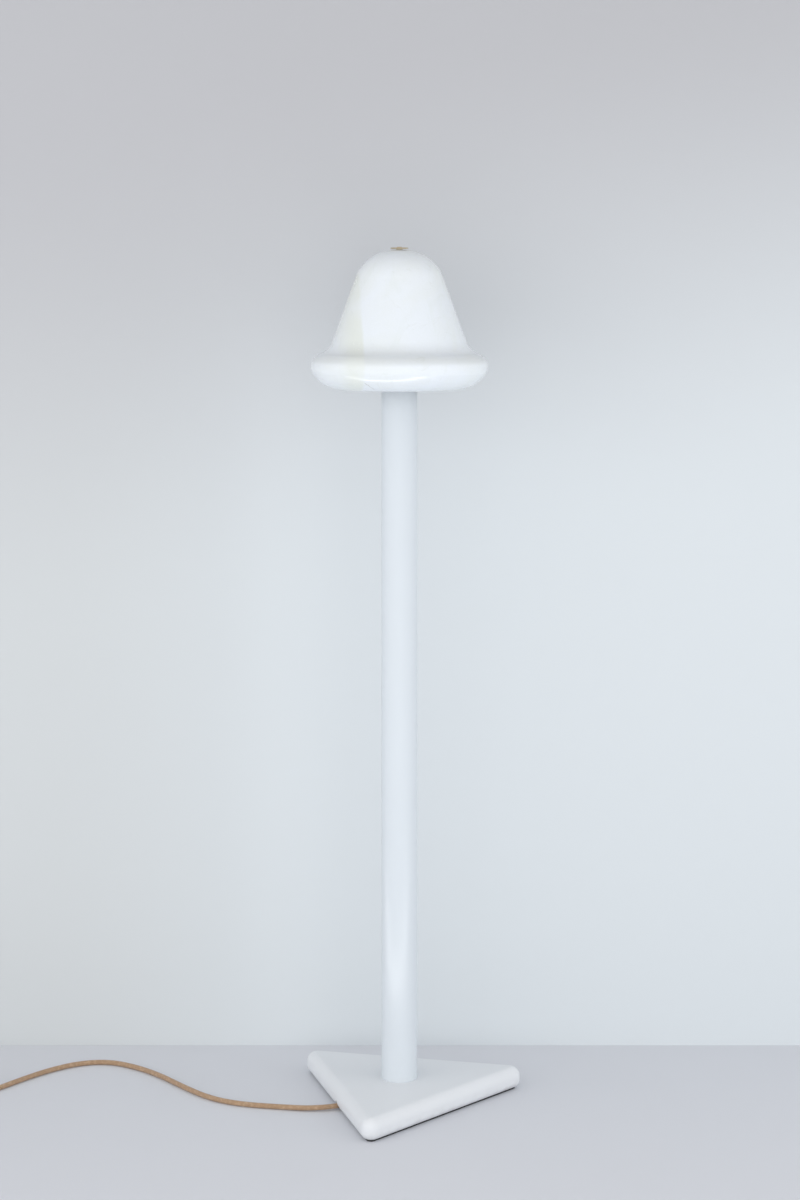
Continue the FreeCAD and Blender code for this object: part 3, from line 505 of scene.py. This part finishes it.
# Two sets of threads wound over each other, on metres along and turns around.
def braidFinish(look):
    finish = Finish("cordBraid", look["thread"], 0.72)
    along, around = finish.axes(finish.node("ShaderNodeUVMap"))[:2]
    turns = along / look["lead"]
    right = ((turns + around) * look["around"] * math.pi).sine()
    left = ((turns - around) * look["around"] * math.pi).sine()
    choose = (right * left).over(0.0)
    height = abs(right) * choose + abs(left) * (1 - choose)
    fibres = finish.noise(finish.place(), 2600.0, 2.0)
    mottled = finish.noise(finish.place(), 240.0, 3.0)
    # painted shade: the hollows between the strands take the darker shade colour
    colour = finish.blend(height.ramp(0.1, 0.9), look["shade"], look["thread"])
    colour = finish.blend(mottled.ramp(0.45, 0.8) * 0.7, colour, look["light"])
    finish.feed("Base Color", colour)
    finish.feed("Roughness", 0.66 + fibres * 0.14)
    finish.feed("Sheen Weight", 0.25)
    finish.feed("Sheen Roughness", 0.4)
    finish.bump(height + fibres * 0.35, 0.00035, 0.8)
    return finish.material


def wovenFinish(name, colour, scale=1400.0):
    finish = Finish(name, colour, 0.9)
    place = finish.place()
    loops = finish.cells(place, scale)
    fuzz = finish.noise(place, scale * 1.6, 3.0)
    pale = between(colour, (0.4, 0.4, 0.4), 0.25)
    finish.feed("Base Color", finish.blend(fuzz.ramp(0.4, 0.8), colour, pale))
    finish.feed("Roughness", 0.84 + fuzz * 0.12)
    finish.feed("Sheen Weight", 0.3)
    finish.bump(loops * 0.7 + fuzz * 0.4, 0.0004, 0.8)
    return finish.material


def glassFinish():
    finish = Finish("bulbGlass", (1.0, 1.0, 1.0), 0.02)
    finish.feed("Transmission Weight", 1.0)
    finish.feed("IOR", 1.46)
    place = finish.place()
    finish.feed("Roughness", 0.01 + finish.noise(place, 30.0, 3.0).ramp(0.5, 0.9) * 0.04)
    return finish.material


def filamentFinish():
    finish = Finish("filament", (0.86, 0.62, 0.20), 0.55)
    z = finish.axes(finish.place())[2]
    beads = abs((z * 1400.0).sine())
    finish.feed("Base Color", finish.blend(beads, (0.92, 0.70, 0.26), (0.80, 0.52, 0.12)))
    finish.feed("Roughness", 0.5 + beads * 0.1)
    finish.bump(beads, 0.0002, 0.5)
    return finish.material


def ceramicFinish():
    finish = Finish("holderCeramic", (0.80, 0.78, 0.72), 0.5)
    place = finish.place()
    grit = finish.noise(place, 420.0, 4.0)
    finish.feed("Base Color", finish.blend(grit, (0.82, 0.80, 0.75), (0.74, 0.72, 0.66)))
    finish.feed("Roughness", 0.45 + grit * 0.2)
    finish.bump(grit, 0.0001, 0.5)
    return finish.material


def washerFinish():
    finish = Finish("clearWasher", (0.78, 0.78, 0.74), 0.3)
    place = finish.place()
    haze = finish.noise(place, 300.0, 3.0)
    finish.feed("Base Color", finish.blend(haze, (0.82, 0.82, 0.79), (0.70, 0.70, 0.66)))
    finish.feed("Roughness", 0.25 + haze * 0.15)
    finish.bump(haze, 0.00005, 0.4)
    return finish.material


black = (0.022, 0.021, 0.020)
finishes = {
    "plate_paint": paintFinish("platePaint", paintLook, paintLook["plate"], 0.02),
    "column_paint": paintFinish("columnPaint", paintLook, paintLook["column"], 0.04),
    "pad_rubber": mouldedFinish("padRubber", (0.03, 0.03, 0.03), 0.8, 600.0, 0.0002),
    "zinc_steel": metalFinish("zincSteel", (0.62, 0.63, 0.62), 0.32, (1.0, 1.0, 6.0)),
    "pale_rubber": mouldedFinish("paleRubber", screen(176, 179, 183), 0.6),
    "cord_braid": braidFinish(braidLook),
    "brass": metalFinish("satinBrass", (0.78, 0.58, 0.28), 0.26, (1.0, 1.0, 5.0)),
    "core_plastic": mouldedFinish("coreSheath", (0.20, 0.10, 0.05), 0.45, 900.0, 0.00002),
    "holder_plastic": mouldedFinish("holderPlastic", black, 0.45),
    "ceramic": ceramicFinish(),
    "clear_glass": glassFinish(),
    "nickel": metalFinish("nickelPlate", (0.72, 0.70, 0.66), 0.2, (1.0, 1.0, 8.0)),
    "bulb_black": mouldedFinish("blackGlass", (0.02, 0.02, 0.03), 0.15, 200.0, 0.00002),
    "filament": filamentFinish(),
    "white_stone": stoneFinish(stoneLook),
    "felt": wovenFinish("greyFelt", (0.12, 0.12, 0.12)),
    "clear_washer": washerFinish(),
    "polished_brass": metalFinish("polishedBrass", (0.74, 0.64, 0.47), 0.12, (1.0, 1.0, 3.0), 0.03),
    "switch_plastic": mouldedFinish("switchPlastic", (0.045, 0.040, 0.036), 0.42),
    "spring_steel": metalFinish("springSteel", (0.5, 0.5, 0.5), 0.25),
    "relief_rubber": mouldedFinish("reliefRubber", black, 0.6, 1400.0),
    "tie_fabric": wovenFinish("tieFabric", (0.04, 0.04, 0.042)),
    "plug_plastic": mouldedFinish("plugPlastic", (0.045, 0.040, 0.036), 0.34),
}
for row in frame["record"]["subparts"]:
    mesh = nodes[row["node"]].data
    mesh.materials.clear()
    mesh.materials.append(finishes[row["material_slot"]])
for piece in (cordLead, cordTail):
    piece.data.materials.append(finishes["cord_braid"])
print("finishes on")


# Ends edit mode and gives a finished piece its place, body, slot and material.
def finishPiece(piece, matrix, body, slotName, sharp=35):
    bpy.ops.object.mode_set(mode="EDIT")
    bpy.ops.mesh.select_all(action="SELECT")
    bpy.ops.mesh.remove_doubles(threshold=0.000002)
    bpy.ops.mesh.normals_make_consistent(inside=False)
    bpy.ops.object.mode_set(mode="OBJECT")
    piece.matrix_world = matrix
    bpy.ops.object.transform_apply(location=True, rotation=True, scale=True)
    bpy.ops.object.shade_smooth_by_angle(angle=math.radians(sharp))
    piece.data.materials.clear()
    piece.data.materials.append(finishes[slotName])
    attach(piece, body)
    return piece


# Adds a modifier with these settings to the active piece and applies it.
def applied(piece, kind, **settings):
    modifier = piece.modifiers.new(kind.lower(), kind)
    for key, value in settings.items():
        setattr(modifier, key, value)
    bpy.ops.object.modifier_apply(modifier=modifier.name)


# A round piece drawn out of a disc or circle along +Z, one extrusion for each (rise, radius).
def drawnOut(name, sides, radius, rings, fill="NGON"):
    bpy.ops.object.select_all(action="DESELECT")
    bpy.ops.mesh.primitive_circle_add(vertices=sides, radius=radius, fill_type=fill)
    piece = bpy.context.object
    piece.name = name
    bpy.ops.object.mode_set(mode="EDIT")
    bpy.ops.mesh.select_all(action="SELECT")
    filled = fill == "NGON"
    extrude = bpy.ops.mesh.extrude_region_move if filled else bpy.ops.mesh.extrude_edges_move
    for rise, nextRadius in rings:
        extrude(TRANSFORM_OT_translate={"value": (0, 0, rise)})
        share = nextRadius / radius
        bpy.ops.transform.resize(value=(share, share, 1))
        radius = nextRadius
    return piece


def heading(degrees):
    return Matrix.Rotation(math.radians(degrees), 4, "Z")


# Selects the polygons, edges or vertices of a mesh in edit mode for which the rule holds.
def selectWhere(piece, parts, rule):
    bpy.ops.mesh.select_all(action="DESELECT")
    bpy.ops.object.mode_set(mode="OBJECT")
    for part in getattr(piece.data, parts):
        part.select = rule(part)
    bpy.ops.object.mode_set(mode="EDIT")


# Strain reliefs: rubber sleeves with ribs, tapering along the cord.
reliefSetup = {
    "sides": 36,
    "ribs": 7,
    "ribShare": 0.62,  # of each rib and its groove
    "grooveDepth": 0.0008,
    "chamfer": 0.00025,
    "lip": 0.0001,
}
switchSetup = {
    "centre": Vector((-0.65424, -0.19408, 0.0)),
    "heading": -140,
    "cordHeight": 0.0075,
    "reliefPlace": 0.0326,  # where a sleeve starts, just inside the housing
    "reliefLength": 0.026,
    "rootRadius": 0.0054,
    "tipRadius": 0.0041,
}
plugSetup = {
    "start": Vector((-0.6850, -0.10054, 0.018)),
    "heading": 1.5,
    "radius": 0.018,
    "reliefLength": 0.030,
    "rootRadius": 0.0075,
    "tipRadius": 0.0044,
    "gripStart": 0.045,
    "gripLength": 0.019,
    "gripWidth": 0.0013,
    "gripProud": 0.0006,
    "gripTurns": (-40, -27, -13.5, 0, 13.5, 27, 40),
    "gripEnd": 130,  # degrees at which a rib would have no length left
    "gripEdge": 0.6,  # bevel, as a share of how far a rib stands proud
}


def ribbedSleeve(name, sizes, setup):
    pitch = sizes["reliefLength"] / setup["ribs"]
    taper = (sizes["tipRadius"] - sizes["rootRadius"]) / setup["ribs"]
    chamfer = setup["chamfer"]
    rib = pitch * setup["ribShare"]
    rings = []
    for k in range(setup["ribs"]):
        full = sizes["rootRadius"] + taper * k
        inner = full - setup["grooveDepth"]
        rings += [(chamfer, full), (rib - 2 * chamfer, full), (chamfer, full - chamfer)]
        if k < setup["ribs"] - 1:
            rings += [(0.0, inner), (pitch - rib, inner - chamfer / 3)]
            rings += [(0.0, full - chamfer - setup["lip"])]
    return drawnOut(name, setup["sides"], sizes["rootRadius"] - chamfer, rings)


alongX = Matrix.Rotation(math.radians(90), 4, "Y")
sleeveRows = (
    ("switchSleeveIn", "switch_relief_in", 180),
    ("switchSleeveOut", "switch_relief_out", 0),
)
for name, node, turn in sleeveRows:
    sleeve = ribbedSleeve(name, switchSetup, reliefSetup)
    way = switchSetup["heading"] + turn
    out = polar(switchSetup["reliefPlace"], way, switchSetup["cordHeight"])
    root = Matrix.Translation(switchSetup["centre"] + out)
    finishPiece(sleeve, root @ heading(way) @ alongX, "stand", "relief_rubber")
    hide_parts(node)
plugSleeve = ribbedSleeve("plugSleeve", plugSetup, reliefSetup)
root = plugSetup["start"] + polar(plugSetup["reliefLength"], plugSetup["heading"])
turned = heading(plugSetup["heading"] + 180) @ alongX
finishPiece(plugSleeve, Matrix.Translation(root) @ turned, "stand", "relief_rubber")
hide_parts("plug_relief")
print("sleeves made")


# Finger grips on both sides of the plug: ribs that get shorter away from the middle.
def plugGrips(setup):
    ribs = []
    for side in (-90, 90):
        for turn in setup["gripTurns"]:
            short = 1 - abs(turn) / setup["gripEnd"]
            bpy.ops.object.select_all(action="DESELECT")
            bpy.ops.mesh.primitive_cube_add(size=1)
            rib = bpy.context.object
            rib.scale = (setup["gripLength"] * short, setup["gripWidth"], 2 * setup["gripProud"])
            bpy.ops.object.transform_apply(location=False, rotation=False, scale=True)
            bpy.ops.object.mode_set(mode="EDIT")
            bpy.ops.mesh.select_all(action="SELECT")
            edge = setup["gripProud"] * setup["gripEdge"]
            bpy.ops.mesh.bevel(offset=edge, segments=3, affect="EDGES")
            bpy.ops.object.mode_set(mode="OBJECT")
            middle = Vector((setup["gripStart"] + setup["gripLength"] / 2, 0, setup["radius"]))
            about = Matrix.Rotation(math.radians(side + turn), 4, "X")
            rib.matrix_world = about @ Matrix.Translation(middle)
            bpy.ops.object.transform_apply(location=True, rotation=True, scale=True)
            ribs.append(rib)
    for rib in ribs:
        rib.select_set(True)
    bpy.context.view_layer.objects.active = ribs[0]
    bpy.ops.object.join()
    ribs[0].name = "plugGrips"
    return ribs[0]


grips = plugGrips(plugSetup)
plugMatrix = Matrix.Translation(plugSetup["start"]) @ heading(plugSetup["heading"])
finishPiece(grips, plugMatrix, "stand", "plug_plastic")


# Foot button with raised rings under the sole, and the collar round it.
buttonSetup = {
    "sides": 72,
    "bottom": 0.0142,
    "top": 0.0209,
    "radius": 0.0105,
    "flangeRadius": 0.0120,
    "flangeHeight": 0.0014,
    "chamfer": (0.0001, 0.0002),  # up and in
    "crown": ((0.0007, 0.0002), (0.0005, 0.0007), (0.0002, 0.0014)),
    "dimple": ((0.0, 0.0026), (-0.0002, 0.0014), (-0.0001, 0.0004)),
    "ringRadii": (0.0086, 0.0066, 0.0046),
    "ringWidth": 0.0009,
    "ringDepth": 0.00045,
    "slope": 0.0002,
}
collarSetup = {
    "sides": 72,
    "bottom": 0.0170,
    "outerRings": ((0.0013, 0.0135), (0.0003, 0.0131)),
    "innerRings": ((0.0, 0.0117), (-0.0003, 0.0112), (-0.0010, 0.0111)),
    "radius": 0.0137,
}


def footButton(setup):
    radius, flange = setup["radius"], setup["flangeRadius"]
    up, inwards = setup["chamfer"]
    crownHeight = sum(rise for rise, inset in setup["crown"])
    straight = setup["top"] - setup["bottom"] - setup["flangeHeight"] - up - crownHeight
    rings = [(setup["flangeHeight"], flange), (up, flange - inwards), (0.0, radius)]
    rings += [(straight, radius)]
    rings += [(rise, radius - inset) for rise, inset in setup["crown"]]
    for outer in setup["ringRadii"]:
        inner = outer - setup["ringWidth"]
        rings += [(0.0, outer), (-setup["ringDepth"], outer - setup["slope"])]
        rings += [(0.0, inner), (setup["ringDepth"], inner - setup["slope"])]
    rings += setup["dimple"]
    return drawnOut("footButton", setup["sides"], flange, rings)


# A place over the switch's centre, turned as the switch is.
def overSwitch(height):
    place = switchSetup["centre"] + Vector((0, 0, height))
    return Matrix.Translation(place) @ heading(switchSetup["heading"])


button = footButton(buttonSetup)
finishPiece(button, overSwitch(buttonSetup["bottom"]), "foot_button", "switch_plastic")
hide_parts("switch_button")


# The wire spring under the button, as tall as the part's spring.
springSetup = {
    "radius": 0.006,
    "wire": 0.0006,
    "sides": 12,
    "turns": 5,
    "steps": 24,  # to a turn
    "travel": 0.0025,
}


def switchSpring(setup, low, high):
    wire = setup["wire"]
    bpy.ops.mesh.primitive_circle_add(
        vertices=setup["sides"], radius=wire, fill_type="NGON", rotation=(math.pi / 2, 0, 0)
    )
    bpy.ops.object.transform_apply(location=False, rotation=True, scale=False)
    spring = bpy.context.object
    spring.name = spring.data.name = "switchCoil"
    for corner in spring.data.vertices:
        corner.co += Vector((setup["radius"], 0, low + wire))
    rise = (high - low - 2 * wire) / setup["turns"]
    steps, turns = setup["steps"], setup["turns"]
    applied(
        spring, "SCREW", axis="Z", steps=steps, render_steps=steps, iterations=turns, screw_offset=rise
    )
    return spring


springLow, springHigh = (corner[2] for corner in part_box("switch_spring"))
spring = switchSpring(springSetup, springLow, springHigh)
finishPiece(spring, overSwitch(0), "stand", "spring_steel")
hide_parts("switch_spring")
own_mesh(spring)

collarRings = collarSetup["outerRings"] + collarSetup["innerRings"]
collar = drawnOut(
    "switchCollar", collarSetup["sides"], collarSetup["radius"], collarRings, "NOTHING"
)
bpy.ops.mesh.select_all(action="DESELECT")
bpy.ops.mesh.select_non_manifold()
bpy.ops.mesh.bridge_edge_loops()
finishPiece(collar, overSwitch(collarSetup["bottom"]), "stand", "switch_plastic")
print("switch and plug detailed")


# Woven strap round the coil, with its end laid back over itself.
strapSetup = {
    "place": 0.0385,  # from the coil's centre
    "angle": -60,
    "halfWidth": 0.0154,
    "height": 0.0167,
    "band": 0.012,
    "corner": 0.0034,
    "thickness": 0.0008,
    "endFrom": -0.008,
    "endDown": 0.0065,
    "endGap": 1.15,  # from the strap to the end laid on it, in thicknesses
    "tip": 0.003,  # how much of the end lifts off
    "lift": 0.0009,
    "edge": 0.0002,
}


def coilStrap(setup):
    bpy.ops.object.select_all(action="DESELECT")
    bpy.ops.mesh.primitive_cube_add(size=1, location=(0, 0, setup["height"] / 2))
    strap = bpy.context.object
    strap.name = "coilStrap"
    strap.scale = (2 * setup["halfWidth"], setup["band"], setup["height"])
    bpy.ops.object.transform_apply(location=True, rotation=False, scale=True)
    bpy.ops.object.mode_set(mode="EDIT")
    bpy.ops.mesh.select_mode(type="FACE")
    selectWhere(strap, "polygons", lambda face: abs(face.normal.y) > 0.9)
    bpy.ops.mesh.delete(type="FACE")
    bpy.ops.mesh.select_mode(type="EDGE")

    def acrossBand(edge):
        first, second = (strap.data.vertices[k].co for k in edge.vertices)
        return abs(first.y - second.y) > 0.9 * setup["band"]

    selectWhere(strap, "edges", acrossBand)
    bpy.ops.mesh.bevel(offset=setup["corner"], segments=6, affect="EDGES")
    bpy.ops.mesh.select_all(action="SELECT")
    bpy.ops.mesh.subdivide(number_cuts=3)
    bpy.ops.mesh.select_mode(type="FACE")
    half, down = setup["halfWidth"], setup["endDown"]

    def overlapped(face):
        middle = face.center
        onTop = middle.z > setup["height"] - setup["corner"] and middle.x > setup["endFrom"]
        return onTop or (middle.x > half - setup["corner"] and middle.z > down)

    selectWhere(strap, "polygons", overlapped)
    bpy.ops.mesh.duplicate()
    bpy.ops.transform.shrink_fatten(value=setup["thickness"] * setup["endGap"])
    bpy.ops.mesh.select_mode(type="VERT")

    def atTip(corner):
        onEnd = corner.co.z > setup["height"] + setup["thickness"] / 2
        return onEnd and corner.co.x < setup["endFrom"] + setup["tip"]

    selectWhere(strap, "vertices", atTip)
    bpy.ops.transform.translate(value=(0, 0, setup["lift"]))
    bpy.ops.object.mode_set(mode="OBJECT")
    applied(strap, "SOLIDIFY", thickness=setup["thickness"], offset=-1.0)
    applied(strap, "BEVEL", width=setup["edge"], segments=2, limit_method="ANGLE")
    return strap


strap = coilStrap(strapSetup)
strapMiddle = coilSetup["centre"] + polar(strapSetup["place"], strapSetup["angle"])
strapMatrix = Matrix.Translation(strapMiddle) @ heading(strapSetup["angle"])
finishPiece(strap, strapMatrix, "stand", "tie_fabric")
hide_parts("coil_tie")
print("strap tied")


# The rubber pad under the plate, a little short of its rounded edge.
padSetup = {
    "inradius": 0.0885,  # axis to each straight side
    "corner": 0.0072,
    "thickness": 0.002,
    "edge": 0.0003,
}


def basePad(setup):
    reach = 2 * setup["inradius"]
    bpy.ops.object.select_all(action="DESELECT")
    bpy.ops.mesh.primitive_circle_add(vertices=3, radius=reach, fill_type="NGON")
    pad = bpy.context.object
    pad.name = "basePad"
    bpy.ops.object.mode_set(mode="EDIT")
    bpy.ops.mesh.select_all(action="SELECT")
    cutBack = setup["corner"] * math.sqrt(3)
    bpy.ops.mesh.bevel(offset=cutBack, segments=10, affect="VERTICES")
    bpy.ops.mesh.select_all(action="SELECT")
    bpy.ops.mesh.extrude_region_move(TRANSFORM_OT_translate={"value": (0, 0, setup["thickness"])})
    bpy.ops.object.mode_set(mode="OBJECT")
    applied(pad, "BEVEL", width=setup["edge"], segments=2, limit_method="ANGLE")
    return pad


pad = basePad(padSetup)
corner = max((vertex.co for vertex in pad.data.vertices), key=lambda co: co.length)
padTurn = heading(-90 - math.degrees(math.atan2(corner.y, corner.x)))
finishPiece(pad, padTurn, "stand", "pad_rubber")
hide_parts("base_pad")
print("pad laid")


# Floor, backdrop and light.
stageSetup = {
    "floor": screen(214, 216, 222),
    "wallLeft": screen(204, 208, 210),
    "wallRight": screen(214, 220, 224),
    "wallTop": screen(188, 189, 193),
    "wallBehind": 0.235,  # from the axis, along the view
    "wallSize": (3.0, 3.0),
    "floorSize": (8.0, 8.0),
}


def plainFinish(name, colour, roughness):
    finish = Finish(name, colour, roughness)
    place = finish.place()
    drift = finish.noise(place, 1.4, 2.0)
    finish.feed("Base Color", finish.blend(drift, darker(colour, 0.98), darker(colour, 1.02)))
    finish.bump(finish.noise(place, 500.0, 2.0), 0.00005, 0.3)
    return finish


# The backdrop shows from its front alone, so that views from behind see the lamp.
def wallFinish(setup):
    finish = plainFinish("wallPaint", setup["wallLeft"], 0.9)
    x, y = finish.axes(finish.place())[:2]
    # painted light and shade on the backdrop: lighter to the right, darker to the left and towards the
    # top
    low = finish.blend(x.ramp(-0.55, 0.0), setup["wallLeft"], setup["wallRight"])
    finish.feed("Base Color", finish.blend((y - x * 0.2).ramp(-0.8, 0.0), low, setup["wallTop"]))
    back = finish.node("ShaderNodeNewGeometry", output="Backfacing")
    clear = finish.node("ShaderNodeBsdfTransparent")
    surface = Value(finish, finish.shader.outputs[0])
    mixed = finish.node("ShaderNodeMixShader", inputs={0: back, 1: surface, 2: clear})
    finish.tree.links.new(mixed.socket, finish.tree.nodes["Material Output"].inputs[0])
    return finish.material


def stagePlane(name, size, matrix, material):
    bpy.ops.object.select_all(action="DESELECT")
    bpy.ops.mesh.primitive_plane_add(size=1)
    plane = bpy.context.object
    plane.name = name
    plane.scale = (*size, 1)
    bpy.ops.object.transform_apply(location=False, rotation=False, scale=True)
    plane.matrix_world = matrix
    plane.data.materials.append(material)


floorMaterial = plainFinish("floorPaint", stageSetup["floor"], 0.75).material
stagePlane("floor", stageSetup["floorSize"], Matrix.Identity(4), floorMaterial)
wallMiddle = Vector((0, 0, stageSetup["wallSize"][1] / 2))
wallPlace = wallMiddle - viewAway * stageSetup["wallBehind"]
wallTurn = viewAway.to_track_quat("Z", "Y").to_matrix().to_4x4()
wallMatrix = Matrix.Translation(wallPlace) @ wallTurn
stagePlane("wall", stageSetup["wallSize"], wallMatrix, wallFinish(stageSetup))

# Each place is (right, away, up) as the camera sees it. A highlight lamp shows in gloss alone.
lightSetup = [
    {"name": "front", "place": (-0.35, -3.6, 0.9), "size": (4.2, 2.6), "power": 33, "aim": 0.7},
    {"name": "left", "place": (-2.2, -1.3, 0.8), "size": (2.2, 2.4), "power": 20.5, "aim": 0.9},
    {"name": "right", "place": (2.2, -0.9, 0.95), "size": (2.0, 2.2), "power": 16, "aim": 1.1},
    {"name": "line", "place": (-0.07, -0.2, 0.12), "size": (1.6, 0.05), "power": 2.1, "aim": 1},
    {"name": "low", "place": (0, -1.3, 0.35), "size": (1.8, 0.5), "power": 3.9, "aim": 1.1},
]
highlights = {"line"}


def areaLight(setup):
    name = setup["name"]
    data = bpy.data.lights.new(name, "AREA")
    data.shape = "RECTANGLE"
    data.size, data.size_y = setup["size"]
    data.energy = setup["power"]
    lamp = bpy.data.objects.new(name, data)
    lamp.visible_camera = False
    lamp.visible_diffuse = name not in highlights
    lamp.visible_glossy = name in highlights
    bpy.context.scene.collection.objects.link(lamp)
    right, away, up = setup["place"]
    lamp.location = viewRight * right + viewAway * -away + Vector((0, 0, up))
    aim = Vector((0, 0, setup["aim"])) - lamp.location
    lamp.rotation_euler = aim.to_track_quat("-Z", "Y").to_euler()


for setup in lightSetup:
    areaLight(setup)

worldSetup = {"light": (1.0, 0.995, 0.99), "strength": 0.665}


def makeWorld(setup):
    world = bpy.data.worlds.new("world")
    bpy.context.scene.world = world
    world.use_nodes = True
    background = world.node_tree.nodes["Background"]
    background.inputs[0].default_value = (*setup["light"], 1)
    background.inputs[1].default_value = setup["strength"]


makeWorld(worldSetup)
bpy.context.scene.view_settings.view_transform = "Standard"
print("stage and lights set")
